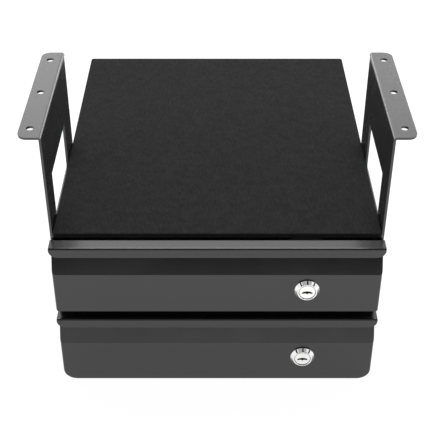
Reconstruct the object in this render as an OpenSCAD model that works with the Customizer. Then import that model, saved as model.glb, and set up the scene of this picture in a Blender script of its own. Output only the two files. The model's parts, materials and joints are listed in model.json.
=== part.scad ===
// Lockable under-desk drawer unit: two stacked steel drawers in a folded case,
// hung from a desk by two flanged side brackets, with a felt pad on the case top.
// The origin lies in the desk plane, at the centre of the flange hole pattern.
// The drawer fronts face -Y, +X is to the right and +Z is up. Millimetres.

/* [Case] */
// Outer width of the case and of the drawer faces
case_w = 348; // [320:1:380]
// Depth of the case behind the drawer fronts
case_d = 404.5; // [390:0.5:440]
// Height from one drawer's top strip to the next
drawer_pitch = 97; // [95:1:110]
// Height of the case below the second drawer's top strip
lower_bay_h = 90; // [90:1:100]
// Thickness of the case steel
case_sheet = 1.2; // [0.8:0.1:1.5]
// Outer bend radius of the case steel
case_bend_r = 2; // [1.6:0.1:3]
// Height of the folded edges of the divider, the base and the back
flange_h = 11; // [10:0.5:12]
// Height of the base's folded side edges
base_flange_h = 9; // [7:0.5:9]

/* [Drawer fronts] */
// Depth of the flat strip along the top of each front
strip_d = 17.4; // [14:0.1:20]
// Height of the strip's rear edge, where its sheet turns down
strip_end_h = 3.8; // [3.4:0.1:5]
// Height of the lip that hangs from the strip
lip_h = 11.4; // [9:0.1:14]
// How far the strip and the lip pass the face at each end
lip_overhang = 1; // [1:0.1:3]
// Radius of the lip's lower corners
lip_corner_r = 9; // [4:0.5:9]
// Height from the strip's top to the foot of the sloping finger recess
recess_h = 34.4; // [30:0.1:36]
// Height of the upper front
upper_front_h = 84.8; // [84.5:0.1:85.5]
// Height of the lower front
lower_front_h = 89.2; // [87:0.1:89.5]
// Radius of the lower front's bottom corners
lower_corner_r = 15; // [8:1:18]
// Thickness of the front steel
front_sheet = 1.2; // [1:0.1:1.5]
// Outer bend radius of the front steel
front_bend_r = 2.4; // [1.6:0.1:2.5]
// Gap between a closed front and the case
front_gap = 3.1; // [0.3:0.1:6]

/* [Drawer trays] */
// Height of the tray walls
tray_h = 46; // [42:1:47]
// Thickness of the tray steel
tray_sheet = 1; // [0.8:0.1:1.2]
// Gap between the tray and the bottom fold of its front
tray_floor_gap = 0.8; // [0.5:0.1:1.5]
// Free space behind the closed tray
tray_rear_gap = 10.5; // [8:0.5:30]
// Diameter of the welded studs that carry the front
stud_d = 4; // [3:0.5:5]
// Distance of the studs from the centre line
stud_x = 128; // [115:1:140]
// Height of the upper studs above the tray floor
stud_high = 34; // [28:1:36]
// Height of the lower studs above the tray floor
stud_low = 10; // [8:1:14]

/* [Runners] */
// Height of the outer rails
runner_h = 35; // [34:0.5:37]
// Space that a runner fills between the case and the tray
runner_t = 12.7; // [12.5:0.1:14]
// Length of every rail
runner_l = 350; // [335:1:360]
// How far the runners start behind the case's front edge
runner_setback = 4; // [2:1:10]
// Height of the runners' middle above the tray's underside
runner_rise = 21; // [20:0.5:23]
// How far each drawer opens
travel = 300; // [250:5:320]
// Thickness of the rail steel
rail_sheet = 1.2; // [1:0.1:1.4]
// Diameter of the bearing balls
ball_d = 2.4; // [2:0.1:2.6]
// Balls in each row of a cage
ball_count = 5; // [3:1:8]
// Thickness of the ball cages
cage_sheet = 0.4; // [0.3:0.05:0.5]
// Diameter of the rail screws
rail_screw_d = 4; // [3:0.5:4.5]

/* [Locks] */
// Distance of the lock axis from the centre line
lock_x = 95.5; // [60:0.5:110]
// Depth of the lock axis below the strip's top
lock_drop = 54.5; // [52:0.5:58]
// Diameter of the chrome bezel where it meets the face
bezel_d = 26.6; // [25:0.2:30]
// Diameter of the bezel's front edge
bezel_front_d = 21.2; // [21:0.1:24]
// How far the bezel stands proud of the face
bezel_h = 4.8; // [3:0.1:5.5]
// Diameter of the threaded barrel
barrel_d = 19; // [18:0.5:20]
// Diameter of the turning plug's head
plug_head_d = 18; // [17:0.1:18.4]
// Thickness of the turning plug's head
plug_head_t = 2; // [1.5:0.1:2.5]
// Diameter of the turning plug
plug_d = 13; // [12:0.1:14]
// Width of the square that carries the cam
plug_square = 7; // [6:0.1:8]
// Length of the keyway
keyway_l = 11; // [8:0.1:12]
// Width of the keyway at its middle
keyway_w = 2.8; // [1.6:0.1:3]
// Radius of the keyway's arched upper edge
keyway_arch_r = 9.5; // [8:0.1:14]
// Depth of the keyway
keyway_depth = 9; // [4:0.5:12]
// Thickness of the lock's hexagonal nut
lock_nut_t = 3.5; // [2.5:0.1:5]
// Width across the flats of the lock's nut
lock_nut_af = 24; // [22:0.5:26]
// Length of the cam from the lock axis to its tip
cam_l = 38; // [36:0.5:40]
// Width of the cam
cam_w = 14; // [12:0.5:18]
// Thickness of the cam
cam_t = 2; // [1.5:0.1:3]
// Thickness of the strike plates
strike_sheet = 1.5; // [1.2:0.1:2]
// Width of the strike plates
strike_w = 32; // [26:1:40]
// How far a strike plate hangs below its ceiling
strike_drop = 23; // [21:0.5:25]
// Depth of the strike plate's welded foot
strike_foot = 18; // [12:1:25]

/* [Brackets] */
// Height from the case top to the desk
hang_h = 117; // [80:1:160]
// Length of the flanges along the desk
flange_l = 187; // [180:1:220]
// Width of the flanges
flange_w = 24.5; // [24:0.5:35]
// How far the flanges start behind the lip's front
flange_setback = 28; // [22:1:60]
// Thickness of the bracket steel
bracket_t = 2.5; // [2:0.1:3]
// Outer bend radius of the bracket steel
bracket_bend_r = 3.2; // [3.2:0.1:6]
// Radius of the flanges' outer corners
flange_corner_r = 10; // [4:0.5:12]
// Diameter of the desk screw holes
hole_d = 8; // [5:0.5:9]
// Distance from one desk screw hole to the next
hole_pitch = 75; // [60:1:80]
// Distance of the desk screw holes from the bracket's web
hole_out = 13.5; // [13:0.5:15]
// Width of each bracket's front leg
front_leg_w = 36; // [30:1:40]
// Width of each bracket's back leg
back_leg_w = 44; // [38:1:48]
// How far the back leg stops short of the flange's end
leg_inset = 4; // [0:0.5:8]
// Height of the window's top above the case top
window_top = 51.4; // [40:0.1:60]
// Depth of the window's foot below the case top
window_foot = 6; // [2:1:8]
// Radius of the window's corners
window_r = 2; // [1:0.5:10]
// Depth of the web's foot below the case top
web_foot = 34; // [30:1:38]
// Diameter of the bracket screws
bracket_screw_d = 5; // [4:0.5:6]
// Depth of the bracket screws below the case top
bracket_screw_drop = 20; // [18:1:22]

/* [Pad] */
// How far the pad stops short of the case's sides
pad_side_inset = 1.5; // [0:0.5:8]
// How far the pad stops short of the case's front and back
pad_end_inset = 0.5; // [0:0.5:8]
// Thickness of the felt pad
pad_t = 4.5; // [2:0.5:8]
// Radius of the felt pad's corners
pad_corner_r = 3; // [1:0.5:10]

/* [Fasteners] */
// Diameter of the blind rivets
rivet_d = 3.2; // [2.4:0.1:4]
// Extra diameter of a clearance hole
hole_play = 0.4; // [0.2:0.1:0.6]
// Radial running clearance of the lock plugs
plug_play = 0.05; // [0.03:0.01:0.1]
// Running clearance on each side of a bearing ball
ball_play = 0.05; // [0.02:0.01:0.1]
// Clearance between a turned cam and its strike plate
strike_play = 0.5; // [0.3:0.1:1]

/* [Hidden] */
$fn = 48;

// A small overlap that lets cutting bodies pass clean through
cut = 1;
paint = [0.07, 0.07, 0.075];
zinc = [0.72, 0.73, 0.74];
chrome = [0.85, 0.86, 0.88];
felt = [0.12, 0.12, 0.125];

// Case frame: y = 0 at the lip's front, z = 0 at the case top
lip_y = -(flange_setback + flange_l / 2);
case_half = case_w / 2;
inner_half = case_half - case_sheet;
case_front = strip_d + front_gap;
case_back_y = case_front + case_d;
case_foot = -(drawer_pitch + lower_bay_h);

// Trays, measured down from their own strip's top
tray_half = inner_half - runner_t;
tray_base = -(upper_front_h - front_sheet - tray_floor_gap);
tray_top = tray_base + tray_h;
tray_end = case_back_y - case_sheet - tray_rear_gap;

// Front studs and their nuts
stud_l = 7;
stud_nut_af = 7;
stud_nut_t = 3.2;

// Runners, measured inwards from the case's inner side
runner_z = tray_base + runner_rise;
runner_y = case_front + runner_setback;
outer_depth = 10.4;
head_t = 1;
rail_screw_head_d = 7.4;
cage_air = 0.2;
outer_cage_x = rail_sheet + head_t + cage_air;
middle_x = outer_cage_x + cage_sheet + cage_air;
inner_cage_x = middle_x + rail_sheet + cage_air;
inner_reach = inner_cage_x + cage_sheet + cage_air + 0.2;
middle_depth = outer_depth + 0.6;
cage_depth = outer_depth - 0.6;
half_outer = runner_h / 2;
ball_space = ball_d + 2 * ball_play;
half_middle = half_outer - rail_sheet - ball_space;
half_inner = half_middle - rail_sheet - ball_space;
outer_row = half_outer - rail_sheet - ball_space / 2;
inner_row = half_middle - rail_sheet - ball_space / 2;
ball_x = inner_reach + ball_d;
cage_margin = 8;
cage_l = runner_l - travel / 2 - cage_margin;
cage_y = runner_y + travel / 4 + cage_margin / 2;
ball_end = 8;
cage_hole_play = 0.2;
rail_screw_spots = [25, runner_l / 2, runner_l - 25];

// Locks
cam_y = case_front + strike_sheet + strike_play;
barrel_end = cam_y - 0.3;
cam_screw_d = 4;
cam_screw_l = 7;
cam_head_d = 12;
cam_head_t = 2.6;
cross_l = 6;
cross_w = 1.2;
tick_w = 1.6;
tick_depth = 0.35;
tick_angles = [-36, 0, 36];
bezel_rim = 1.3;
plug_edge = 0.6;
bezel_edge = 0.3;
notch_depth = 0.4;

// Brackets
web_x = case_half;
window_front = flange_setback + front_leg_w;
window_back = flange_setback + flange_l - leg_inset - back_leg_w;
web_back = flange_setback + flange_l - leg_inset;
bracket_screw_spots = [flange_setback + front_leg_w / 2, (window_front + window_back) / 2,
    web_back - back_leg_w / 2];
screw_head_d = 9.5;
screw_head_t = 2.7;
nut_af = 8;
nut_t = 4;

// Rivets
rivet_head_d = 2 * rivet_d;
rivet_head_t = 0.9;
rivet_tail_d = 1.6 * rivet_d;
rivet_tail_t = 1.6;
flange_gap = 0.2;
back_flange_front = case_back_y - case_sheet - flange_h;
floor_end = back_flange_front - flange_gap;
side_spots = [case_front + 40, case_front + case_d / 2, floor_end - 40];
back_spots = [-30, -drawer_pitch - 20, case_foot + 30];

// Flat run from a to b that stops short by trim_a and trim_b for the bends
module flat_run(a, b, t, trim_a, trim_b) {
    u = unit(b - a);
    side = [-u[1], u[0]] * t / 2;
    start = a + u * trim_a;
    end = b - u * trim_b;
    polygon([start + side, end + side, end - side, start - side]);
}

// Quarter bend of middle radius r at b, on the way from a to c
module fold(a, b, c, t, r) {
    u = unit(a - b);
    v = unit(c - b);
    translate(b + (u + v) * r) intersection() {
        difference() {
            circle(r + t / 2);
            circle(r - t / 2);
        }
        polygon([[0, 0], -u * (r + t), -(u + v) * (r + t), -v * (r + t)]);
    }
}

function unit(v) = v / norm(v);

// An XZ shape drawn out along Y, and a YZ shape drawn out along X
module along_y(y0, y1) {
    translate([0, y1, 0]) rotate([90, 0, 0]) linear_extrude(y1 - y0) children();
}

module along_x(x0, x1) {
    translate([x0, 0, 0]) rotate([90, 0, 90]) linear_extrude(x1 - x0) children();
}

// Folded sheet of thickness t along a centre line whose turns are all square
module sheet_y(y0, y1, path, t, outer_r) {
    along_y(y0, y1) flat_runs(path, t, outer_r - t / 2);
    along_y(y0, y1) folds(path, t, outer_r - t / 2);
}

module sheet_x(x0, x1, path, t, outer_r) {
    along_x(x0, x1) flat_runs(path, t, outer_r - t / 2);
    along_x(x0, x1) folds(path, t, outer_r - t / 2);
}

module sheet_z(z0, z1, path, t, outer_r) {
    translate([0, 0, z0]) {
        linear_extrude(z1 - z0) flat_runs(path, t, outer_r - t / 2);
        linear_extrude(z1 - z0) folds(path, t, outer_r - t / 2);
    }
}

module flat_runs(path, t, r) {
    last = len(path) - 1;
    for (i = [0 : last - 1])
        flat_run(path[i], path[i + 1], t, i == 0 ? 0 : r, i == last - 1 ? 0 : r);
}

module folds(path, t, r) {
    for (i = [1 : len(path) - 2]) fold(path[i - 1], path[i], path[i + 1], t, r);
}

module block(low, high) {
    translate(low) cube(high - low);
}

module rod_x(x0, x1, y, z, d) {
    translate([x0, y, z]) rotate([0, 90, 0]) cylinder(h = x1 - x0, d = d);
}

module rod_y(y0, y1, x, z, d) {
    translate([x, y0, z]) rotate([-90, 0, 0]) cylinder(h = y1 - y0, d = d);
}

module hex_x(x0, x1, y, z, af) {
    translate([x0, y, z]) rotate([0, 90, 0]) cylinder(h = x1 - x0, d = af / cos(30), $fn = 6);
}

module hex_y(y0, y1, x, z, af) {
    translate([x, y0, z]) rotate([-90, 0, 0]) cylinder(h = y1 - y0, d = af / cos(30), $fn = 6);
}

module both_sides() {
    children();
    mirror([1, 0, 0]) children();
}

module in_case() {
    translate([0, lip_y, -hang_h]) children();
}

module in_bay(bay) {
    translate([0, lip_y, -hang_h - bay * drawer_pitch]) children();
}

// Rectangle from x0 to x1 and z0 to z1 whose lower corners are round
module foot_round(x0, x1, z0, z1, r) {
    translate([x0 + r, z0 + r]) circle(r);
    translate([x1 - r, z0 + r]) circle(r);
    translate([x0 + r, z0]) square([x1 - x0 - 2 * r, r + cut]);
    translate([x0, z0 + r]) square([x1 - x0, z1 - z0 - r]);
}

// Rectangle from x0 to x1 and z0 to z1 whose four corners are round
module all_round(x0, x1, z0, z1, r) {
    for (x = [x0 + r, x1 - r], z = [z0 + r, z1 - r]) translate([x, z]) circle(r);
    translate([x0 + r, z0]) square([x1 - x0 - 2 * r, z1 - z0]);
    translate([x0, z0 + r]) square([x1 - x0, z1 - z0 - 2 * r]);
}

// Case: top and sides are one folded sheet
module case_wrap() {
    s = case_sheet / 2;
    color(paint) in_case() difference() {
        sheet_y(case_front, case_back_y, [
            [-case_half + s, case_foot], [-case_half + s, -s],
            [case_half - s, -s], [case_half - s, case_foot]], case_sheet, case_bend_r);
        both_sides() {
            for (y = bracket_screw_spots) side_hole(y, -bracket_screw_drop, bracket_screw_d);
            for (bay = [0, 1], y = rail_screw_spots)
                side_hole(runner_y + y, runner_z - bay * drawer_pitch, rail_screw_d);
            rivet_places() side_hole(0, 0, rivet_d);
        }
    }
}

module side_hole(y, z, d) {
    rod_x(inner_half - flange_h, case_half + cut, y, z, d + hole_play);
}

module case_base() {
    s = case_sheet / 2;
    x = inner_half - s;
    color(paint) in_case() difference() {
        union() {
            sheet_y(case_front, floor_end, [
                [-x, case_foot + base_flange_h], [-x, case_foot + s],
                [x, case_foot + s], [x, case_foot + base_flange_h]], case_sheet, case_bend_r);
            block([-x + case_bend_r, floor_end - cut, case_foot],
                [x - case_bend_r, case_back_y, case_foot + case_sheet]);
        }
        both_sides() base_rivets() side_hole(0, 0, rivet_d);
    }
}

module case_back() {
    s = case_sheet / 2;
    x = inner_half - s;
    color(paint) in_case() difference() {
        sheet_z(case_foot + case_sheet, -case_bend_r, [
            [-x, back_flange_front], [-x, case_back_y - s],
            [x, case_back_y - s], [x, back_flange_front]], case_sheet, case_bend_r);
        both_sides() back_rivets() side_hole(0, 0, rivet_d);
    }
}

module divider_shelf() {
    s = case_sheet / 2;
    x = inner_half - s;
    z = -drawer_pitch - s;
    color(paint) in_case() difference() {
        union() {
            sheet_y(case_front, floor_end, [
                [-x, z + flange_h], [-x, z], [x, z], [x, z + flange_h]], case_sheet, case_bend_r);
            sheet_x(-x + case_bend_r, x - case_bend_r, [
                [case_front + s, z + flange_h], [case_front + s, z],
                [case_front + 2 * flange_h, z]], case_sheet, case_bend_r);
        }
        both_sides() divider_rivets() side_hole(0, 0, rivet_d);
    }
}

// Places of the rivets on the right side; the left side mirrors them
module back_rivets() {
    for (z = back_spots) translate([0, (back_flange_front + case_back_y - case_bend_r) / 2, z]) children();
}

module divider_rivets() {
    for (y = side_spots) translate([0, y, -drawer_pitch + flange_h / 2]) children();
}

module base_rivets() {
    for (y = side_spots) translate([0, y, case_foot + base_flange_h / 2 + 0.5]) children();
}

module rivet_places() {
    back_rivets() children();
    divider_rivets() children();
    base_rivets() children();
}

module rivet() {
    tail_x = inner_half - case_sheet;
    rod_x(case_half, case_half + rivet_head_t, 0, 0, rivet_head_d);
    rod_x(tail_x - rivet_tail_t, case_half + rivet_head_t, 0, 0, rivet_d);
    rod_x(tail_x - rivet_tail_t, tail_x, 0, 0, rivet_tail_d);
}

module case_rivets() {
    color(paint) in_case() both_sides() rivet_places() rivet();
}

module felt_pad() {
    half = case_half - pad_side_inset;
    color(felt) in_case() linear_extrude(pad_t)
        all_round(-half, half, case_front + pad_end_inset, case_back_y - pad_end_inset, pad_corner_r);
}

// Bracket: an angle with a window in its web; drawn on the right side
module bracket() {
    s = bracket_t / 2;
    color(paint) in_case() difference() {
        sheet_y(flange_setback, flange_setback + flange_l, [
            [web_x + s, -web_foot], [web_x + s, hang_h - s],
            [web_x + flange_w, hang_h - s]], bracket_t, bracket_bend_r);
        for (end = [0, 1]) flange_corner(end);
        block([web_x - cut, web_back, -web_foot - cut],
            [web_x + bracket_bend_r, web_back + leg_inset + cut, hang_h - bracket_bend_r]);
        along_x(web_x - cut, web_x + bracket_t + cut)
            all_round(window_front, window_back, -window_foot, window_top, window_r);
        for (i = [-1, 0, 1])
            translate([web_x + hole_out, flange_setback + flange_l / 2 + i * hole_pitch,
                hang_h - bracket_t - cut]) cylinder(h = bracket_t + 2 * cut, d = hole_d);
        for (y = bracket_screw_spots)
            rod_x(web_x - cut, web_x + bracket_t + cut, y, -bracket_screw_drop,
                bracket_screw_d + hole_play);
    }
}

// Cuts one outer corner of the flange to its radius
module flange_corner(end) {
    r = flange_corner_r;
    y = flange_setback + end * flange_l;
    inward = end == 0 ? 1 : -1;
    translate([web_x + flange_w - r, y + inward * r, hang_h - bracket_t - cut])
        linear_extrude(bracket_t + 2 * cut) difference() {
            translate([0, inward > 0 ? -r - cut : 0]) square([r + cut, r + cut]);
            circle(r);
        }
}

module bracket_screws() {
    outer_x = web_x + bracket_t;
    color(zinc) in_case() both_sides() for (y = bracket_screw_spots) {
        rod_x(inner_half - nut_t - 1, outer_x + screw_head_t / 2, y, -bracket_screw_drop, bracket_screw_d);
        difference() {
            rod_x(outer_x, outer_x + screw_head_t, y, -bracket_screw_drop, screw_head_d);
            hex_x(outer_x + screw_head_t / 2, outer_x + screw_head_t + cut, y, -bracket_screw_drop, 3);
        }
    }
}

module bracket_nuts() {
    color(zinc) in_case() both_sides() for (y = bracket_screw_spots) difference() {
        hex_x(inner_half - nut_t, inner_half, y, -bracket_screw_drop, nut_af);
        rod_x(inner_half - nut_t - cut, inner_half + cut, y, -bracket_screw_drop, bracket_screw_d);
    }
}

// Strike plate: an angle welded under its ceiling, just behind the case's front edge
module strike(bay) {
    s = strike_sheet / 2;
    color(zinc) in_bay(bay) sheet_x(lock_x - strike_w / 2, lock_x + strike_w / 2, [
        [case_front + s, -case_sheet - strike_drop], [case_front + s, -case_sheet - s],
        [case_front + strike_foot, -case_sheet - s]], strike_sheet, strike_sheet + 0.5);
}

// Front: a pan with a sloping top, a flat strip over it and a hanging lip
module front(bay) {
    h = bay == 0 ? upper_front_h : lower_front_h;
    r = bay == 0 ? front_bend_r : lower_corner_r;
    t = front_sheet;
    color(paint) in_bay(bay) difference() {
        union() {
            difference() {
                pan_shape(case_half, 0, -h, recess_h, r);
                pan_shape(case_half - t, t, -h + t, recess_h, max(r - t, 0.5));
            }
            front_top();
            for (x = [-stud_x, stud_x], z = [stud_low, stud_high])
                rod_y(t / 2, t + stud_l, x, tray_base + z, stud_d);
        }
        rod_y(-cut, t + cut, lock_x, -lock_drop, barrel_d + hole_play);
        rear_edge_waste();
    }
}

// What the round rear edge of the strip leaves off
module rear_edge_waste() {
    r = front_bend_r;
    wide = case_half + lip_overhang + cut;
    along_x(-wide, wide) difference() {
        translate([strip_d - r, -r]) square(r + cut);
        translate([strip_d - r, -r]) circle(r);
    }
}

// Filled shape of a front between its face plane and the case, open at the rear
module pan_shape(half, y0, foot, slope_foot, r) {
    rear = y0 == 0 ? strip_d : strip_d + cut;
    edge_r = y0 == 0 ? front_bend_r : front_bend_r - front_sheet;
    intersection() {
        along_y(y0, rear) foot_round(-half, half, foot, 0, r);
        along_x(-half, half) polygon([
            [y0, foot], [y0, -slope_foot], slope_point(y0, rear), [rear, foot]]);
        translate([0, 0, foot]) linear_extrude(-foot)
            foot_round(-half, half, y0, rear, edge_r);
    }
}

// Point where the sloping sheet meets the pan's rear plane
function slope_point(y0, rear) =
    let (rise = recess_h - front_sheet / 2, back = y0 == 0 ? 0 : front_sheet * norm([rise, strip_d]) / rise)
    [rear, -recess_h + (rear - back) * rise / strip_d];

module front_top() {
    s = front_sheet / 2;
    wide = case_half + lip_overhang;
    intersection() {
        sheet_x(-wide, wide, [[s, -lip_h], [s, -s], [strip_d - s, -s], [strip_d - s, -strip_end_h]],
            front_sheet, front_bend_r);
        along_y(-cut, strip_d + cut) foot_round(-wide, wide, -lip_h, cut, lip_corner_r);
    }
}

module tray(bay) {
    t = tray_sheet;
    y0 = front_sheet;
    color(paint) in_bay(bay) difference() {
        block([-tray_half, y0, tray_base], [tray_half, tray_end, tray_top]);
        block([-tray_half + t, y0 + t, tray_base + t], [tray_half - t, tray_end - t, tray_top + cut]);
        rod_y(y0 - cut, y0 + t + cut, lock_x, -lock_drop, barrel_d + hole_play);
        for (x = [-stud_x, stud_x], z = [stud_low, stud_high])
            rod_y(y0 - cut, y0 + t + cut, x, tray_base + z, stud_d + hole_play);
        both_sides() for (y = rail_screw_spots)
            rod_x(tray_half - t - cut, tray_half + cut, runner_y + y, runner_z, rail_screw_d + hole_play);
    }
}

module front_nuts(bay) {
    y = front_sheet + tray_sheet;
    color(zinc) in_bay(bay) for (x = [-stud_x, stud_x], z = [stud_low, stud_high]) difference() {
        hex_y(y, y + stud_nut_t, x, tray_base + z, stud_nut_af);
        rod_y(y - cut, y + stud_nut_t + cut, x, tray_base + z, stud_d);
    }
}

// Rails are drawn on the right side: x runs inwards from the case's inner side
module on_side(side, bay) {
    in_bay(bay) mirror([side < 0 ? 1 : 0, 0, 0])
        translate([inner_half, 0, runner_z]) mirror([1, 0, 0]) children();
}

// Channel along Y: its web stands with its outer side at web_at and its edges end at edge_at
module channel(y0, y1, web_at, edge_at, half, t) {
    s = t / 2;
    web = web_at + s * sign(edge_at - web_at);
    sheet_y(y0, y1, [[edge_at, half - s], [web, half - s], [web, -half + s], [edge_at, -half + s]],
        t, t + 0.4);
}

module screw_holes(x0, x1, d) {
    for (y = rail_screw_spots) rod_x(x0 - cut, x1 + cut, runner_y + y, 0, d);
}

module outer_rail(side, bay) {
    color(zinc) on_side(side, bay) difference() {
        channel(runner_y, runner_y + runner_l, 0, outer_depth, half_outer, rail_sheet);
        screw_holes(0, rail_sheet, rail_screw_d + hole_play);
    }
}

module middle_rail(side, bay) {
    color(zinc) on_side(side, bay)
        channel(runner_y, runner_y + runner_l, middle_x, middle_depth, half_middle, rail_sheet);
}

module inner_rail(side, bay) {
    color(zinc) on_side(side, bay) difference() {
        channel(runner_y, runner_y + runner_l, runner_t, inner_reach, half_inner, rail_sheet);
        screw_holes(runner_t - rail_sheet, runner_t, rail_screw_d + hole_play);
    }
}

function ball_spot(i) = cage_y + ball_end + i * (cage_l - 2 * ball_end) / (ball_count - 1);

// Cage: a thin channel whose two edges hold a row of balls each
module cages(bay, x0, row) {
    half = row + cage_sheet / 2;
    color(zinc) for (side = [-1, 1]) on_side(side, bay) difference() {
        channel(cage_y, cage_y + cage_l, x0, cage_depth, half, cage_sheet);
        for (i = [0 : ball_count - 1]) translate([ball_x, ball_spot(i), -half - cut])
            cylinder(h = 2 * (half + cut), d = ball_d + cage_hole_play);
    }
}

module balls(bay, row) {
    color(chrome) for (side = [-1, 1]) on_side(side, bay)
        for (i = [0 : ball_count - 1], z = [-row, row])
            translate([ball_x, ball_spot(i), z]) sphere(d = ball_d, $fn = 24);
}

module outer_rail_screws() {
    color(zinc) for (side = [-1, 1], bay = [0, 1]) on_side(side, bay) for (y = rail_screw_spots) {
        rod_x(rail_sheet, rail_sheet + head_t, runner_y + y, 0, rail_screw_head_d);
        rod_x(-case_sheet, rail_sheet + head_t, runner_y + y, 0, rail_screw_d);
    }
}

module inner_rail_screws(bay) {
    head_x = runner_t - rail_sheet - head_t;
    color(zinc) for (side = [-1, 1]) on_side(side, bay) for (y = rail_screw_spots) {
        rod_x(head_x, head_x + head_t, runner_y + y, 0, rail_screw_head_d);
        rod_x(head_x, runner_t + tray_sheet, runner_y + y, 0, rail_screw_d);
    }
}

// Lock pieces are drawn about the lock axis, y measured from the front's face
module at_lock(bay) {
    in_bay(bay) translate([lock_x, 0, -lock_drop]) children();
}

// Turns a profile of [radius, y] points about the lock axis
module turned_profile(points) {
    rotate([-90, 0, 0]) rotate_extrude() polygon(points);
}

module lock_housing(bay) {
    face_y = -bezel_h;
    seat_y = face_y + plug_head_t + 0.6;
    head_r = plug_head_d / 2 + plug_play;
    bore_r = plug_d / 2 + plug_play;
    color(chrome) at_lock(bay) difference() {
        turned_profile([
            [bore_r, seat_y], [head_r, seat_y], [head_r, face_y + bezel_edge], [head_r + bezel_edge, face_y],
            [bezel_front_d / 2 - bezel_edge, face_y], [bezel_front_d / 2, face_y + bezel_edge],
            [bezel_d / 2, -bezel_rim], [bezel_d / 2, 0],
            [barrel_d / 2, 0], [barrel_d / 2, barrel_end], [bore_r, barrel_end]]);
        for (a = tick_angles) rotate([0, a, 0]) tick();
    }
}

// Notch across the sloping side of the bezel
module tick() {
    rise = (bezel_d - bezel_front_d) / 2;
    slope_l = norm([rise, bezel_h - bezel_rim]);
    translate([-tick_w / 2, -bezel_rim, bezel_d / 2])
        rotate([atan2(rise, bezel_h - bezel_rim), 0, 0])
            translate([0, -slope_l - cut, -tick_depth]) cube([tick_w, slope_l + cut, cut]);
}

module lock_nut(bay) {
    y = front_sheet + tray_sheet;
    color(zinc) at_lock(bay) difference() {
        hex_y(y, y + lock_nut_t, 0, 0, lock_nut_af);
        rod_y(y - cut, y + lock_nut_t + cut, 0, 0, barrel_d);
    }
}

module lock_plug(bay) {
    face_y = -bezel_h + 0.5;
    seat_y = face_y + plug_head_t;
    half = plug_square / 2;
    color(chrome) at_lock(bay) difference() {
        union() {
            turned_profile([[0, face_y], [plug_head_d / 2 - plug_edge, face_y],
                [plug_head_d / 2, face_y + plug_edge], [plug_head_d / 2, seat_y],
                [plug_d / 2, seat_y], [plug_d / 2, cam_y], [0, cam_y]]);
            block([-half, cam_y - cut, -half], [half, cam_y + cam_t, half]);
        }
        along_y(face_y - cut, face_y + keyway_depth) keyway();
        along_y(face_y - cut, face_y + notch_depth) keyway_notch();
        rod_y(cam_y + cam_t - cam_screw_l, cam_y + cam_t + cut, 0, 0, cam_screw_d);
    }
}

// Arched slot, widest at its middle; its lower edge is the flatter one
module keyway() {
    lower_r = 2 * keyway_arch_r;
    intersection() {
        translate([0, keyway_w / 2 - keyway_arch_r]) circle(keyway_arch_r, $fn = 96);
        square([keyway_l, 2 * keyway_w], center = true);
        translate([0, -keyway_w / 2 - lower_r]) difference() {
            square(4 * lower_r, center = true);
            circle(lower_r, $fn = 96);
        }
    }
}

// Shallow notch under the keyway's middle
module keyway_notch() {
    polygon([[-keyway_w, 0], [0, -keyway_w], [keyway_w, 0]]);
}

module lock_cam(bay) {
    half = plug_square / 2 + plug_play;
    color(zinc) at_lock(bay) difference() {
        along_y(cam_y, cam_y + cam_t) {
            circle(d = cam_w);
            translate([-cam_l + cam_w / 4, -cam_w / 2]) square([cam_l - cam_w / 4, cam_w]);
            translate([-cam_l, -cam_w / 4]) square([cam_w / 2, cam_w / 2]);
            for (z = [-cam_w / 4, cam_w / 4]) translate([-cam_l + cam_w / 4, z]) circle(cam_w / 4);
        }
        block([-half, cam_y - cut, -half], [half, cam_y + cam_t + cut, half]);
    }
}

module cam_screw(bay) {
    y = cam_y + cam_t;
    color(zinc) at_lock(bay) difference() {
        union() {
            rod_y(y, y + cam_head_t, 0, 0, cam_head_d);
            rod_y(y - cam_screw_l + 1, y + cam_head_t, 0, 0, cam_screw_d);
        }
        for (a = [0, 90]) rotate([0, a, 0])
            block([-cross_l / 2, y + cam_head_t / 2, -cross_w / 2],
                [cross_l / 2, y + cam_head_t + cut, cross_w / 2]);
    }
}

case_wrap();
case_base();
case_back();
divider_shelf();
felt_pad();
mirror([1, 0, 0]) bracket();  // bracket_left
bracket();  // bracket_right
bracket_screws();
bracket_nuts();
case_rivets();
strike(0);  // upper_strike
strike(1);  // lower_strike
outer_rail_screws();
outer_rail(-1, 0);  // upper_left_outer_rail
outer_rail(1, 0);  // upper_right_outer_rail
outer_rail(-1, 1);  // lower_left_outer_rail
outer_rail(1, 1);  // lower_right_outer_rail
middle_rail(-1, 0);  // upper_left_middle_rail
middle_rail(1, 0);  // upper_right_middle_rail
middle_rail(-1, 1);  // lower_left_middle_rail
middle_rail(1, 1);  // lower_right_middle_rail
cages(0, outer_cage_x, outer_row);  // upper_outer_cages
cages(0, inner_cage_x, inner_row);  // upper_inner_cages
cages(1, outer_cage_x, outer_row);  // lower_outer_cages
cages(1, inner_cage_x, inner_row);  // lower_inner_cages
balls(0, outer_row);  // upper_outer_balls
balls(0, inner_row);  // upper_inner_balls
balls(1, outer_row);  // lower_outer_balls
balls(1, inner_row);  // lower_inner_balls
front(0);  // upper_front
tray(0);  // upper_tray
front_nuts(0);  // upper_front_nuts
inner_rail(-1, 0);  // upper_left_inner_rail
inner_rail(1, 0);  // upper_right_inner_rail
inner_rail_screws(0);  // upper_inner_rail_screws
lock_housing(0);  // upper_lock_housing
lock_nut(0);  // upper_lock_nut
lock_plug(0);  // upper_lock_plug
lock_cam(0);  // upper_lock_cam
cam_screw(0);  // upper_cam_screw
front(1);  // lower_front
tray(1);  // lower_tray
front_nuts(1);  // lower_front_nuts
inner_rail(-1, 1);  // lower_left_inner_rail
inner_rail(1, 1);  // lower_right_inner_rail
inner_rail_screws(1);  // lower_inner_rail_screws
lock_housing(1);  // lower_lock_housing
lock_nut(1);  // lower_lock_nut
lock_plug(1);  // lower_lock_plug
lock_cam(1);  // lower_lock_cam
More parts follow.
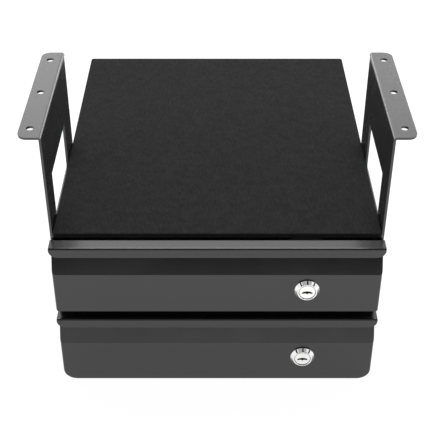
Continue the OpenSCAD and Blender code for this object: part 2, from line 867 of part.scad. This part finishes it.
cam_screw(1);  // lower_cam_screw
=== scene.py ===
import json
import math

import bmesh
import bpy
from mathutils import Euler, Matrix, Vector, noise


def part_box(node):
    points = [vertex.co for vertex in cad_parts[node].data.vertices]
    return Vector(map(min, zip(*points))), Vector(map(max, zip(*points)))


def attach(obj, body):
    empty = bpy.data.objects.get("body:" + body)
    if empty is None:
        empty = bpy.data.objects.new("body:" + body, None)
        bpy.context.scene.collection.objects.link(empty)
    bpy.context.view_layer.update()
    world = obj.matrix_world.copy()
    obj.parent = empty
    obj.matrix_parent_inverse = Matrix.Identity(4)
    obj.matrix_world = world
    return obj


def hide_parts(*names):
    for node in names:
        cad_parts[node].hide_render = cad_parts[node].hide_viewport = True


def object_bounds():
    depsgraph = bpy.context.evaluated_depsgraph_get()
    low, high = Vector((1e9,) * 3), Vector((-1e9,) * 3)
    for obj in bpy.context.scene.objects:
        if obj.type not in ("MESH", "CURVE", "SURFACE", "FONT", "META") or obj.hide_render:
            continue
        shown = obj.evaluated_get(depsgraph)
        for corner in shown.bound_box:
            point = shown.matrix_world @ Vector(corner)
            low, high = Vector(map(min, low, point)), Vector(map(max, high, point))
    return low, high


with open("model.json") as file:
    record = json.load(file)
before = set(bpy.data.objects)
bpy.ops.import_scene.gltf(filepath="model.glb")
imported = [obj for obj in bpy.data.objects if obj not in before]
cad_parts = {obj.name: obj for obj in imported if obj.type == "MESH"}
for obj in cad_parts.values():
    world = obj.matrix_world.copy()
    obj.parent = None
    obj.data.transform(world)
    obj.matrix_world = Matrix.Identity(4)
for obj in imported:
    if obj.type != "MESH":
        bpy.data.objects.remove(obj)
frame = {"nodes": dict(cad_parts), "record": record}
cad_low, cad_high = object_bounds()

# Camera of the photograph: place in metres, angle below the horizon, lens in millimetres
CAMERA_AT = Vector((-0.0023, -0.9195, 0.501))
CAMERA_DOWN = math.radians(35.75)
CAMERA_LENS = 81.9

# Floor: its gap under the case, half its width, and its colour for the light that it throws back
FLOOR_GAP = 0.0003
FLOOR_HALF = 40.0
FLOOR_WHITE = 0.86

# Floor where it is seen: its own glow, and the colour on which the shadow shows
FLOOR_GLOW = 0.95
FLOOR_SHADE = 0.2

# Glow of the floor in mirrored rays close to the unit, lowered there as a painted shadow, and further out,
# and over what distance it grows
MIRROR_SHADOWED_NEAR = 0.9
MIRROR_FAR = 1.06
MIRROR_REACH = 0.28

# Level of the soft light that comes from all sides
WORLD_LIGHT = 0.5

# Lamps: place, point that each faces, width, height and radiance; a lean makes the left end brighter
LAMPS = {
    "overhead softbox": {"at": (0, 0.95, 1.9), "aim": (0, -0.05, -0.15),
                         "width": 1.5, "height": 0.9, "radiance": 6.0},
    "rear softbox": {"at": (0, 2.57, 1.24), "aim": (0, -0.05, -0.1),
                     "width": 1.95, "height": 1.6, "radiance": 0.94, "lean": 0.25},
    "left bend lamp": {"at": (-1.22, 2.5, 0.47), "aim": (0.18, 0, 0),
                       "width": 0.9, "height": 0.6, "radiance": 4.6},
    "right bend lamp": {"at": (1.22, 2.5, 0.47), "aim": (-0.18, 0, 0),
                        "width": 0.9, "height": 0.6, "radiance": 4.6},
}

# Dark cloths: corners, size of their fabric's pattern and its darkest and lightest level
DARK_CLOTHS = {
    "front_flag": [(-3, -2.7, 0.49), (3, -2.7, 0.49), (2.2, -1.5, 1.3), (-2.2, -1.5, 1.3)],
    "ceiling_cloth": [(-0.8, -1.9, 1.75), (0.8, -1.9, 1.75), (0.8, 0.3, 1.85), (-0.8, 0.3, 1.85)],
}
CLOTH_SCALE = 40.0
CLOTH_DARK = (0.004, 0.012)

# Grey card above the camera: corners, size of its pattern, its level and how far that varies
CARD_CORNERS = [(-1.6, -1.65, 1.62), (1.6, -1.65, 1.62), (1.6, -0.55, 1.7), (-1.6, -0.55, 1.7)]
CARD_SCALE = 30.0
CARD_GREY = 0.45
CARD_SPREAD = 0.04

# Spans that hold most values of a noise texture, and its middle part
NOISE_SPAN = (0.3, 0.7)
NOISE_MIDDLE = (0.35, 0.65)

# Powder paint: share of the beads in its relief, scale of its slow tones, and the depth of that relief
# on sheet steel and on small parts
BEAD_SHARE = 0.35
TONE_SCALE = 17.0
PEEL_DEPTH = 0.000012
FINE_PEEL_DEPTH = 0.00001

# Dust specks in the paint: scale, rarity, colour, and how much they cover and dull it
SPECK_SCALE = 620.0
SPECK_SPAN = (0.79, 0.83)
SPECK_GREY = (0.2, 0.2, 0.2, 1)
SPECK_COVER = 0.35
SPECK_DULL = 0.4

# Felt: turn of each fibre layer in degrees, tilt of the layers, how a fibre is drawn out, the noise values
# between which it shows, and how much it lightens the felt
FIBRE_TURNS = (12.0, 58.0, 101.0, 149.0)
FIBRE_TILT = (0.35, 0.2)
FIBRE_DRAWN = (1.0, 0.13, 0.6)
FIBRE_SPAN = (0.5, 0.8)
FIBRE_LIGHT = 0.5

# Felt: how much its patches lighten it, their share in its relief, and the depth of that relief
PATCH_LIGHT = (0.12, 0.38)
PATCH_RELIEF = 0.35
FELT_DEPTH = 0.0003

# Metal: shares of its streaks and clouds in its gloss, the span that both fill, and the depth of the
# streaks on plain and on polished plating
STREAK_SHARE = 0.6
CLOUD_SHARE = 0.4
GLOSS_SPAN = (0.2, 0.8)
STREAK_DEPTH = 0.000004
POLISHED_DEPTH = 0.000001

# Keyway of a plug, painted dark as painted shade: distance from the plug's face to where the painted shade
# begins and to full black, and its black
KEYWAY_LIP = 0.00005
KEYWAY_DARK = 0.00025
KEYWAY_SHADE_BLACK = (0.012, 0.012, 0.012, 1)

# Felt pad: radius of its cut edges and corners, spacing of its mesh, steps of the round edge in degrees
PAD_EDGE_R = 0.0008
PAD_CORNER_R = 0.003
PAD_GRID = 0.0025
PAD_EDGE_STEPS = (0, 25, 45, 65, 90)

# Unevenness of the pad's top: height of its nap, scales of its coarse and fine tufts, share of the fine
# ones, and height and scale of its slow wave
PAD_NAP = 0.00016
PAD_NAP_SCALES = (230, 420)
PAD_FINE_NAP = 0.6
PAD_WAVE = 0.0002
PAD_WAVE_SCALE = 14

# Cut side of the pad: its rows from top to bottom, and the depth and scale of its unevenness
PAD_SIDE_ROWS = (0.3, 0.6, 0.85, 1.0)
PAD_SIDE_UNEVEN = 0.00012
PAD_SIDE_SCALE = 300

# Position marks in the notches of the bezels: angles, width, thickness, how deep they are sunk,
# length as a share of the cone's, and the bevel of their edges as a share of their thickness
MARK_ANGLES = (-36.0, 0.0, 36.0)
MARK_W = 0.0015
MARK_T = 0.0002
MARK_SUNK = 0.00008
MARK_LENGTH = 0.93
MARK_BEVEL = 0.3

# Bezel of the locks: the depth of its rim and the radius of its front edge
BEZEL_RIM = 0.0013
BEZEL_FRONT_R = 0.0106


def feed(tree, socket, item):
    """Feeds a socket with another node's output or with a plain value."""
    if isinstance(item, bpy.types.NodeSocket):
        tree.links.new(item, socket)
    else:
        socket.default_value = item


def new_node(tree, kind, inputs=None, **settings):
    """Adds a node, sets its options, and feeds its inputs with values or with other nodes' outputs."""
    node = tree.nodes.new(kind)
    for key, value in settings.items():
        setattr(node, key, value)
    for key, item in (inputs or {}).items():
        feed(tree, node.inputs[key], item)
    return node


def set_values(node, values):
    """Sets plain values on a node's own inputs."""
    for key, value in values.items():
        node.inputs[key].default_value = value


def math_node(tree, operation, a, b=0.0, clamp=False):
    """The result of one step of arithmetic."""
    return new_node(tree, "ShaderNodeMath", {0: a, 1: b}, operation=operation, use_clamp=clamp).outputs[0]


def scaled_range(tree, value, low, high, to_low, to_high):
    """Maps a value from one range to another, smoothly and clamped."""
    ends = {"Value": value, "From Min": low, "From Max": high, "To Min": to_low, "To Max": to_high}
    return new_node(tree, "ShaderNodeMapRange", ends, interpolation_type="SMOOTHSTEP").outputs["Result"]


def mixed_color(tree, share, first, second):
    """Two colours mixed by a share from 0 to 1."""
    return new_node(tree, "ShaderNodeMix", {0: share, 6: first, 7: second}, data_type="RGBA").outputs[2]


def noise_node(tree, vector, scale, detail=2.0, roughness=0.5):
    """A noise texture's values."""
    inputs = {"Vector": vector, "Scale": scale, "Detail": detail, "Roughness": roughness}
    return new_node(tree, "ShaderNodeTexNoise", inputs).outputs["Fac"]


def open_group(name, inward, outward):
    """Starts a shader node group with named sockets."""
    group = bpy.data.node_groups.new(name, "ShaderNodeTree")
    for label, kind, value in inward:
        socket = group.interface.new_socket(name=label, in_out="INPUT", socket_type="NodeSocket" + kind)
        socket.default_value = value
    for label, kind in outward:
        group.interface.new_socket(name=label, in_out="OUTPUT", socket_type="NodeSocket" + kind)
    return group, group.nodes.new("NodeGroupInput").outputs, group.nodes.new("NodeGroupOutput").inputs


def own_coordinates(tree):
    """Each piece's own coordinates in metres, which move with it."""
    return tree.nodes.new("ShaderNodeTexCoord").outputs["Object"]


def powder_grain_group():
    """Baked powder paint: fine beads, a soft orange peel, uneven gloss and a few dust specks."""
    group, given, out = open_group(
        "powder grain",
        [("Paint", "Color", (0.02, 0.02, 0.02, 1)), ("Tone Spread", "Float", 0.2),
         ("Bead Scale", "Float", 1500.0), ("Peel Scale", "Float", 330.0),
         ("Gloss Low", "Float", 0.3), ("Gloss High", "Float", 0.4)],
        [("Color", "Color"), ("Roughness", "Float"), ("Height", "Float")])
    place = own_coordinates(group)
    beads = noise_node(group, place, given["Bead Scale"])
    peel = noise_node(group, place, given["Peel Scale"], detail=1.0)
    broad = noise_node(group, place, TONE_SCALE, detail=3.0, roughness=0.6)
    height = math_node(group, "MULTIPLY_ADD", beads, BEAD_SHARE)
    group.links.new(peel, height.node.inputs[2])
    group.links.new(height, out["Height"])
    half_spread = math_node(group, "MULTIPLY", given["Tone Spread"], 0.5)
    darker = math_node(group, "SUBTRACT", 1.0, half_spread)
    brighter = math_node(group, "ADD", 1.0, half_spread)
    tone = scaled_range(group, broad, *NOISE_SPAN, darker, brighter)
    toned = new_node(group, "ShaderNodeVectorMath", {0: given["Paint"], "Scale": tone}, operation="SCALE")
    dust = noise_node(group, place, SPECK_SCALE, detail=1.0)
    speck = scaled_range(group, dust, *SPECK_SPAN, 0.0, SPECK_COVER)
    group.links.new(mixed_color(group, speck, toned.outputs[0], SPECK_GREY), out["Color"])
    gloss = scaled_range(group, broad, *NOISE_MIDDLE, given["Gloss Low"], given["Gloss High"])
    dull = math_node(group, "MULTIPLY", speck, SPECK_DULL)
    group.links.new(math_node(group, "ADD", gloss, dull), out["Roughness"])
    return group


def felt_nap_group():
    """Pressed felt: short fibres that lie in all directions, over soft darker and lighter patches."""
    group, given, out = open_group(
        "felt nap",
        [("Deep", "Color", (0.01, 0.01, 0.01, 1)), ("Fibre", "Color", (0.06, 0.06, 0.06, 1)),
         ("Fibre Scale", "Float", 900.0), ("Patch Scale", "Float", 110.0)],
        [("Color", "Color"), ("Height", "Float")])
    place = own_coordinates(group)
    layers = []
    for turn in FIBRE_TURNS:
        mapped = new_node(group, "ShaderNodeMapping", {
            "Vector": place, "Rotation": Euler((*FIBRE_TILT, math.radians(turn))),
            "Location": (turn, 0.0, 0.0), "Scale": FIBRE_DRAWN}).outputs[0]
        layers.append(noise_node(group, mapped, given["Fibre Scale"], detail=1.5, roughness=0.6))
    over = math_node(group, "MAXIMUM", layers[0], layers[1])
    under = math_node(group, "MAXIMUM", layers[2], layers[3])
    fibres = scaled_range(group, math_node(group, "MAXIMUM", over, under), *FIBRE_SPAN, 0.0, 1.0)
    patches = noise_node(group, place, given["Patch Scale"], detail=4.0, roughness=0.65)
    light = scaled_range(group, patches, *NOISE_SPAN, *PATCH_LIGHT)
    share = math_node(group, "ADD", math_node(group, "MULTIPLY", fibres, FIBRE_LIGHT), light, clamp=True)
    group.links.new(mixed_color(group, share, given["Deep"], given["Fibre"]), out["Color"])
    soft = math_node(group, "MULTIPLY", patches, PATCH_RELIEF)
    group.links.new(math_node(group, "ADD", fibres, soft), out["Height"])
    return group


def metal_streak_group():
    """Rolled or turned metal: fine streaks along one axis and a cloudy plating."""
    group, given, out = open_group(
        "metal streaks",
        [("Metal", "Color", (0.6, 0.6, 0.6, 1)), ("Cloud", "Color", (0.5, 0.5, 0.5, 1)),
         ("Stretch", "Vector", (1.0, 0.05, 1.0)), ("Streak Scale", "Float", 1800.0),
         ("Cloud Scale", "Float", 90.0), ("Gloss Low", "Float", 0.2), ("Gloss High", "Float", 0.4)],
        [("Color", "Color"), ("Roughness", "Float"), ("Height", "Float")])
    place = own_coordinates(group)
    drawn = new_node(group, "ShaderNodeVectorMath", {0: place, 1: given["Stretch"]}, operation="MULTIPLY")
    streaks = noise_node(group, drawn.outputs[0], given["Streak Scale"], detail=3.0, roughness=0.6)
    cloudy = noise_node(group, place, given["Cloud Scale"], detail=3.0)
    clouds = scaled_range(group, cloudy, *NOISE_MIDDLE, 0.0, 1.0)
    group.links.new(mixed_color(group, clouds, given["Metal"], given["Cloud"]), out["Color"])
    both = math_node(group, "ADD", math_node(group, "MULTIPLY", streaks, STREAK_SHARE),
                     math_node(group, "MULTIPLY", clouds, CLOUD_SHARE))
    group.links.new(scaled_range(group, both, *GLOSS_SPAN, given["Gloss Low"], given["Gloss High"]),
                    out["Roughness"])
    group.links.new(streaks, out["Height"])
    return group


def new_material(name):
    """An empty material with its Principled BSDF."""
    material = bpy.data.materials.new(name)
    material.use_nodes = True
    tree = material.node_tree
    return material, tree, tree.nodes["Principled BSDF"]


def placed_group(tree, group, values):
    """Puts a node group in a material with the material's own values."""
    node = tree.nodes.new("ShaderNodeGroup")
    node.node_tree = group
    set_values(node, values)
    return node.outputs


def bump(tree, shader, height, depth):
    """Feeds a relief to a shader's normal, with its depth in metres."""
    node = new_node(tree, "ShaderNodeBump", {"Height": height, "Distance": depth, "Strength": 1.0})
    tree.links.new(node.outputs["Normal"], shader.inputs["Normal"])


POWDER = powder_grain_group()
FELT = felt_nap_group()
STREAKS = metal_streak_group()


def powder_coat(name, paint, gloss, peel=PEEL_DEPTH, ior=1.65):
    """Baked powder paint with its colour, the range of its gloss and the depth of its orange peel."""
    material, tree, shader = new_material(name)
    grain = placed_group(tree, POWDER, {"Paint": (*paint, 1), "Gloss Low": gloss[0], "Gloss High": gloss[1]})
    tree.links.new(grain["Color"], shader.inputs["Base Color"])
    tree.links.new(grain["Roughness"], shader.inputs["Roughness"])
    bump(tree, shader, grain["Height"], peel)
    set_values(shader, {"IOR": ior})
    return material


def pressed_felt(name, deep, fibre):
    """Black felt that shines a little only at a glancing angle."""
    material, tree, shader = new_material(name)
    nap = placed_group(tree, FELT, {"Deep": (*deep, 1), "Fibre": (*fibre, 1)})
    tree.links.new(nap["Color"], shader.inputs["Base Color"])
    bump(tree, shader, nap["Height"], FELT_DEPTH)
    set_values(shader, {"Roughness": 1.0, "IOR": 1.2, "Sheen Weight": 0.02, "Sheen Roughness": 0.6})
    return material


def plated_metal(name, metal, cloud, gloss, stretch=(1.0, 0.05, 1.0), depth=STREAK_DEPTH):
    """Plated metal with its two tones, the range of its gloss, and the direction and depth of its streaks."""
    material, tree, shader = new_material(name)
    streaks = placed_group(tree, STREAKS, {"Metal": (*metal, 1), "Cloud": (*cloud, 1), "Stretch": stretch,
                                           "Gloss Low": gloss[0], "Gloss High": gloss[1]})
    tree.links.new(streaks["Color"], shader.inputs["Base Color"])
    tree.links.new(streaks["Roughness"], shader.inputs["Roughness"])
    bump(tree, shader, streaks["Height"], depth)
    set_values(shader, {"Metallic": 1.0})
    return material


def nickel_plug(name, face_y):
    """Polished nickel whose keyway is painted black inside as painted shade, darker further below the plug's
    face.
    """
    material = plated_metal(name, (0.93, 0.93, 0.92), (0.89, 0.89, 0.88), gloss=(0.08, 0.16),
                            stretch=(1.0, 1.0, 0.2))
    tree = material.node_tree
    shader = tree.nodes["Principled BSDF"]
    plating = shader.inputs["Base Color"].links[0].from_socket
    gloss = shader.inputs["Roughness"].links[0].from_socket
    depth = new_node(tree, "ShaderNodeSeparateXYZ", {0: own_coordinates(tree)}).outputs["Y"]
    # painted shade: the keyway turns black, dull and not metallic with depth below the plug's face
    dark = scaled_range(tree, depth, face_y + KEYWAY_LIP, face_y + KEYWAY_DARK, 0.0, 1.0)
    tree.links.new(mixed_color(tree, dark, plating, KEYWAY_SHADE_BLACK), shader.inputs["Base Color"])
    tree.links.new(math_node(tree, "SUBTRACT", 1.0, dark), shader.inputs["Metallic"])
    tree.links.new(math_node(tree, "MAXIMUM", gloss, dark), shader.inputs["Roughness"])
    return material


# The record's material slots and their finishes
MATERIALS = {
    "case_paint": powder_coat("case powder coat", (0.019, 0.019, 0.020), gloss=(0.37, 0.42)),
    "front_paint": powder_coat("front powder coat", (0.0112, 0.0112, 0.0116), gloss=(0.18, 0.24)),
    "tray_paint": powder_coat("tray powder coat", (0.022, 0.022, 0.023), gloss=(0.43, 0.48)),
    "bracket_paint": powder_coat("bracket powder coat", (0.0205, 0.0205, 0.0213), gloss=(0.24, 0.28),
                                 ior=1.74),
    "pad_felt": pressed_felt("pressed felt", deep=(0.0149, 0.0149, 0.0151), fibre=(0.0447, 0.0447, 0.0455)),
    "lock_chrome": plated_metal("lock chrome", (0.88, 0.88, 0.89), (0.84, 0.84, 0.85), gloss=(0.05, 0.12),
                                stretch=(1.0, 0.2, 1.0), depth=POLISHED_DEPTH),
    "plug_nickel": nickel_plug("plug nickel", face_y=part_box("upper_lock_plug")[0].y),
    "zinc_steel": plated_metal("zinc plated steel", (0.62, 0.63, 0.64), (0.5, 0.51, 0.53),
                               gloss=(0.24, 0.42)),
    "black_zinc": powder_coat("black zinc", (0.02, 0.02, 0.021), gloss=(0.3, 0.42), peel=FINE_PEEL_DEPTH),
    "ball_steel": plated_metal("ball steel", (0.8, 0.8, 0.81), (0.74, 0.74, 0.75), gloss=(0.08, 0.16)),
}
MARK_ENAMEL = powder_coat("lock mark enamel", (0.004, 0.004, 0.004), gloss=(0.6, 0.7),
                          peel=FINE_PEEL_DEPTH, ior=1.25)


def dress_cad_nodes():
    """Gives each CAD node the material of its slot in the record."""
    for part in frame["record"]["subparts"]:
        mesh = frame["nodes"][part["node"]].data
        mesh.materials.clear()
        mesh.materials.append(MATERIALS[part["material_slot"]])


def new_piece(name, shape, material):
    """Turns a bmesh into an object of the scene."""
    mesh = bpy.data.meshes.new(name)
    bmesh.ops.recalc_face_normals(shape, faces=shape.faces)
    shape.to_mesh(mesh)
    shape.free()
    mesh.materials.append(material)
    piece = bpy.data.objects.new(name, mesh)
    bpy.context.scene.collection.objects.link(piece)
    return piece


def grid_lines(low, high):
    """Grid places across the pad, close together over its rounded edges."""
    close = [PAD_EDGE_R * (1 - math.cos(math.radians(step))) for step in PAD_EDGE_STEPS]
    flat = high - low - 2 * PAD_EDGE_R
    count = max(2, round(flat / PAD_GRID))
    inner = [low + PAD_EDGE_R + flat * i / count for i in range(1, count)]
    return [low + c for c in close] + inner + [high - c for c in reversed(close)]


def rounded_corner(x, y, low, high):
    """Moves a point of a rectangle's grid so that the rectangle's corners become round."""
    r = PAD_CORNER_R
    near = Vector((min(max(x, low.x + r), high.x - r), min(max(y, low.y + r), high.y - r)))
    off = Vector((x, y)) - near
    if off.x and off.y:
        off *= max(abs(off.x), abs(off.y)) / off.length
    return near + off


def nap_height(x, y):
    """Unevenness of pressed felt: a slow wave and short tufts."""
    coarse, fine = PAD_NAP_SCALES
    wave = noise.noise(Vector((x * PAD_WAVE_SCALE, y * PAD_WAVE_SCALE, 3.1)))
    tufts = noise.noise(Vector((x * coarse, y * coarse, 7.7)))
    fine_tufts = noise.noise(Vector((x * fine, y * fine, 1.3)))
    return PAD_WAVE * wave + PAD_NAP * (tufts + PAD_FINE_NAP * fine_tufts)


def pad_top_point(x, y, low, high):
    """A point of the pad's top, which rounds down to the cut edge."""
    inside = min(x - low.x, high.x - x, y - low.y, high.y - y)
    drop = PAD_EDGE_R - math.sqrt(max(0, PAD_EDGE_R**2 - max(0, PAD_EDGE_R - inside) ** 2))
    share = min(1, inside / (2 * PAD_EDGE_R))
    place = rounded_corner(x, y, low, high)
    return place.x, place.y, high.z - drop - PAD_NAP + share * nap_height(place.x, place.y)


def pad_top(shape, low, high):
    """The pad's top as a grid of faces. Returns the points of its rim in order."""
    xs, ys = grid_lines(low.x, high.x), grid_lines(low.y, high.y)
    top = {(i, j): shape.verts.new(pad_top_point(x, y, low, high))
           for i, x in enumerate(xs) for j, y in enumerate(ys)}
    last_i, last_j = len(xs) - 1, len(ys) - 1
    for i in range(last_i):
        for j in range(last_j):
            shape.faces.new((top[i, j], top[i + 1, j], top[i + 1, j + 1], top[i, j + 1]))
    return ([top[i, 0] for i in range(last_i)] + [top[last_i, j] for j in range(last_j)]
            + [top[i, last_j] for i in range(last_i, 0, -1)] + [top[0, j] for j in range(last_j, 0, -1)])


def cut_edge_point(at, z, share, low, high):
    """A point of the pad's cut side, slightly uneven between its two ends."""
    inward = ((low + high) / 2 - at).normalized()
    grain = noise.noise(Vector((at.x * PAD_SIDE_SCALE, at.y * PAD_SIDE_SCALE, z * PAD_SIDE_SCALE)))
    uneven = PAD_SIDE_UNEVEN * math.sin(math.pi * share) * (1 + grain)
    return Vector((at.x + inward.x * uneven, at.y + inward.y * uneven, z))


def pad_side(shape, rim, low, high):
    """The pad's cut side, row by row below its rim, and its flat underside."""
    wall_top = high.z - PAD_EDGE_R - PAD_NAP
    ring = rim
    for share in PAD_SIDE_ROWS:
        z = wall_top + share * (low.z - wall_top)
        lower = [shape.verts.new(cut_edge_point(v.co, z, share, low, high)) for v in rim]
        for k, v in enumerate(ring):
            n = (k + 1) % len(ring)
            shape.faces.new((v, lower[k], lower[n], ring[n]))
        ring = lower
    shape.faces.new(list(reversed(ring)))


def felt_pad_piece():
    """Die-cut felt pad with soft cut edges, flat underneath where it is glued to the case."""
    low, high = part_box("felt_pad")
    shape = bmesh.new()
    pad_side(shape, pad_top(shape, low, high), low, high)
    for face in shape.faces:
        face.smooth = True
    pad = new_piece("shelf_pad", shape, MATERIALS["pad_felt"])
    pad.data.polygons[-1].use_smooth = False
    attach(pad, "housing")
    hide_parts("felt_pad")


def lock_marks(bay):
    """Black enamel in the three notches across the cone of a lock's bezel."""
    low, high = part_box(bay + "_lock_housing")
    face_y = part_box(bay + "_front")[0].y
    centre = Vector(((low.x + high.x) / 2, face_y, (low.z + high.z) / 2))
    rim_r, rim_y, front_y = (high.x - low.x) / 2, -BEZEL_RIM, low.y - face_y
    along = Vector((0, front_y - rim_y, BEZEL_FRONT_R - rim_r))
    middle = Vector((0, (rim_y + front_y) / 2, (rim_r + BEZEL_FRONT_R) / 2))
    tilt = math.atan2(along.z, along.y)
    outward = Vector((0, math.sin(tilt), -math.cos(tilt)))
    if outward.z < 0:
        outward = -outward
    shape = bmesh.new()
    for angle in MARK_ANGLES:
        mark = bmesh.ops.create_cube(shape, size=1.0)["verts"]
        bmesh.ops.scale(shape, verts=mark, vec=(MARK_W, along.length * MARK_LENGTH, MARK_T))
        bmesh.ops.rotate(shape, verts=mark, matrix=Matrix.Rotation(tilt, 3, "X"))
        bmesh.ops.translate(shape, verts=mark, vec=middle - outward * (MARK_SUNK + MARK_T / 2))
        bmesh.ops.rotate(shape, verts=mark, matrix=Matrix.Rotation(math.radians(angle), 3, "Y"))
        bmesh.ops.translate(shape, verts=mark, vec=centre)
    bmesh.ops.bevel(shape, geom=list(shape.edges), offset=MARK_T * MARK_BEVEL, segments=2, affect="EDGES")
    marks = new_piece(bay + "_lock_marks", shape, MARK_ENAMEL)
    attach(marks, bay + "_drawer")


def camera():
    """The camera at the photograph's place, level from side to side."""
    data = bpy.data.cameras.new("photograph camera")
    data.lens = CAMERA_LENS
    made = bpy.data.objects.new("photograph camera", data)
    made.location = CAMERA_AT
    made.rotation_euler = (math.pi / 2 - CAMERA_DOWN, 0, 0)
    bpy.context.scene.collection.objects.link(made)
    bpy.context.scene.camera = made


def softbox(name, at, aim, width, height, radiance, lean=0.0):
    """A rectangular lamp at one point that faces another, brighter towards the left by its lean."""
    lamp = bpy.data.lights.new(name, "AREA")
    lamp.shape = "RECTANGLE"
    lamp.size, lamp.size_y = width, height
    if lean:
        lean_of_lamp(lamp, lean)
    lamp.energy = radiance * math.pi * width * height
    made = bpy.data.objects.new(name, lamp)
    made.location = at
    made.rotation_euler = (Vector(aim) - Vector(at)).to_track_quat("-Z", "Y").to_euler()
    made.visible_camera = False
    bpy.context.scene.collection.objects.link(made)


def lean_of_lamp(lamp, lean):
    """Makes a lamp stronger at one end of its width and weaker at the other."""
    lamp.use_nodes = True
    tree = lamp.node_tree
    place = tree.nodes.new("ShaderNodeNewGeometry").outputs["Parametric"]
    across = new_node(tree, "ShaderNodeSeparateXYZ", {0: place}).outputs["X"]
    level = scaled_range(tree, across, 0.0, 1.0, 1 - lean, 1 + lean)
    tree.links.new(level, tree.nodes["Emission"].inputs["Strength"])


def seen_directly(tree):
    """1 for rays from the camera, mirrored rays and rays through glass, and 0 for light that falls."""
    path = tree.nodes.new("ShaderNodeLightPath").outputs
    camera_or_gloss = math_node(tree, "MAXIMUM", path["Is Camera Ray"], path["Is Glossy Ray"])
    return math_node(tree, "MAXIMUM", camera_or_gloss, path["Is Transmission Ray"])


def flat_stage(name, corners, material):
    """A flat piece of the studio."""
    mesh = bpy.data.meshes.new(name)
    mesh.from_pydata(corners, [], [(0, 1, 2, 3)])
    mesh.materials.append(material)
    made = bpy.data.objects.new(name, mesh)
    bpy.context.scene.collection.objects.link(made)
    return made


def away_from_unit(tree):
    """Distance over the floor from the unit's outline."""
    middle, half = (cad_low + cad_high) / 2, (cad_high - cad_low) / 2
    place = new_node(tree, "ShaderNodeSeparateXYZ", {0: own_coordinates(tree)}).outputs
    away = []
    for axis in (0, 1):
        offset = math_node(tree, "SUBTRACT", place[axis], middle[axis])
        away.append(math_node(tree, "SUBTRACT", math_node(tree, "ABSOLUTE", offset), half[axis]))
    return math_node(tree, "MAXIMUM", *away)


def floor_glow(tree, direct):
    """White to the camera; in mirrored rays darker close to the unit as a painted shadow, where less light
    reaches the floor.
    """
    glossy = tree.nodes.new("ShaderNodeLightPath").outputs["Is Glossy Ray"]
    # painted shadow: mirrored rays see the floor's glow lowered close to the unit
    mirrored = scaled_range(tree, away_from_unit(tree), 0.0, MIRROR_REACH, MIRROR_SHADOWED_NEAR, MIRROR_FAR)
    change = math_node(tree, "MULTIPLY", glossy, math_node(tree, "SUBTRACT", mirrored, FLOOR_GLOW))
    return math_node(tree, "MULTIPLY", direct, math_node(tree, "ADD", change, FLOOR_GLOW))


def studio_floor():
    """White floor that keeps a faint shadow, with a painted shadow close to the unit in mirrored rays."""
    material, tree, shader = new_material("studio floor")
    tree.nodes.remove(shader)
    direct = seen_directly(tree)
    white = (FLOOR_WHITE,) * 3 + (1,)
    shade = (FLOOR_SHADE,) * 3 + (1,)
    paper = new_node(tree, "ShaderNodeBsdfDiffuse", {"Color": mixed_color(tree, direct, white, shade)})
    glow = new_node(tree, "ShaderNodeEmission", {"Strength": floor_glow(tree, direct)})
    both = new_node(tree, "ShaderNodeAddShader", {0: paper.outputs[0], 1: glow.outputs[0]})
    tree.links.new(both.outputs[0], tree.nodes["Material Output"].inputs["Surface"])
    z, h = cad_low.z - FLOOR_GAP, FLOOR_HALF
    flat_stage("studio_floor", [(-h, -h, z), (h, -h, z), (h, h, z), (-h, h, z)], material)


def dark_cloths():
    """Dark cloth behind the camera and overhead, which the glossy paint and the chrome mirror."""
    material, tree, shader = new_material("dark cloth")
    cloth = scaled_range(tree, noise_node(tree, own_coordinates(tree), CLOTH_SCALE), *NOISE_SPAN, *CLOTH_DARK)
    black = new_node(tree, "ShaderNodeCombineColor", {i: cloth for i in range(3)})
    tree.links.new(black.outputs[0], shader.inputs["Base Color"])
    set_values(shader, {"Roughness": 1.0, "Specular IOR Level": 0.0})
    for name, corners in DARK_CLOTHS.items():
        flat_stage(name, corners, material).visible_camera = False


def grey_card():
    """Grey card above the camera, which the cones of the bezels mirror."""
    material, tree, shader = new_material("grey card")
    tree.nodes.remove(shader)
    fabric = noise_node(tree, own_coordinates(tree), CARD_SCALE)
    darkest, lightest = CARD_GREY * (1 - CARD_SPREAD), CARD_GREY * (1 + CARD_SPREAD)
    level = scaled_range(tree, fabric, *NOISE_SPAN, darkest, lightest)
    glow = new_node(tree, "ShaderNodeEmission", {"Strength": level})
    tree.links.new(glow.outputs[0], tree.nodes["Material Output"].inputs["Surface"])
    flat_stage("grey_card", CARD_CORNERS, material).visible_camera = False


def studio_world():
    """White surroundings: full white where they show, and a plain soft light elsewhere."""
    world = bpy.data.worlds.new("studio")
    world.use_nodes = True
    bpy.context.scene.world = world
    tree = world.node_tree
    background = tree.nodes["Background"]
    background.inputs["Color"].default_value = (1, 1, 1, 1)
    strength = scaled_range(tree, seen_directly(tree), 0.0, 1.0, WORLD_LIGHT, 1.0)
    tree.links.new(strength, background.inputs["Strength"])


def studio():
    """The camera, the floor, what the gloss mirrors, and the lamps."""
    camera()
    studio_floor()
    dark_cloths()
    grey_card()
    studio_world()
    for name, lamp in LAMPS.items():
        softbox(name, **lamp)
    bpy.context.scene.view_settings.view_transform = "Standard"


dress_cad_nodes()
felt_pad_piece()
for bay_name in ("upper", "lower"):
    lock_marks(bay_name)
studio()
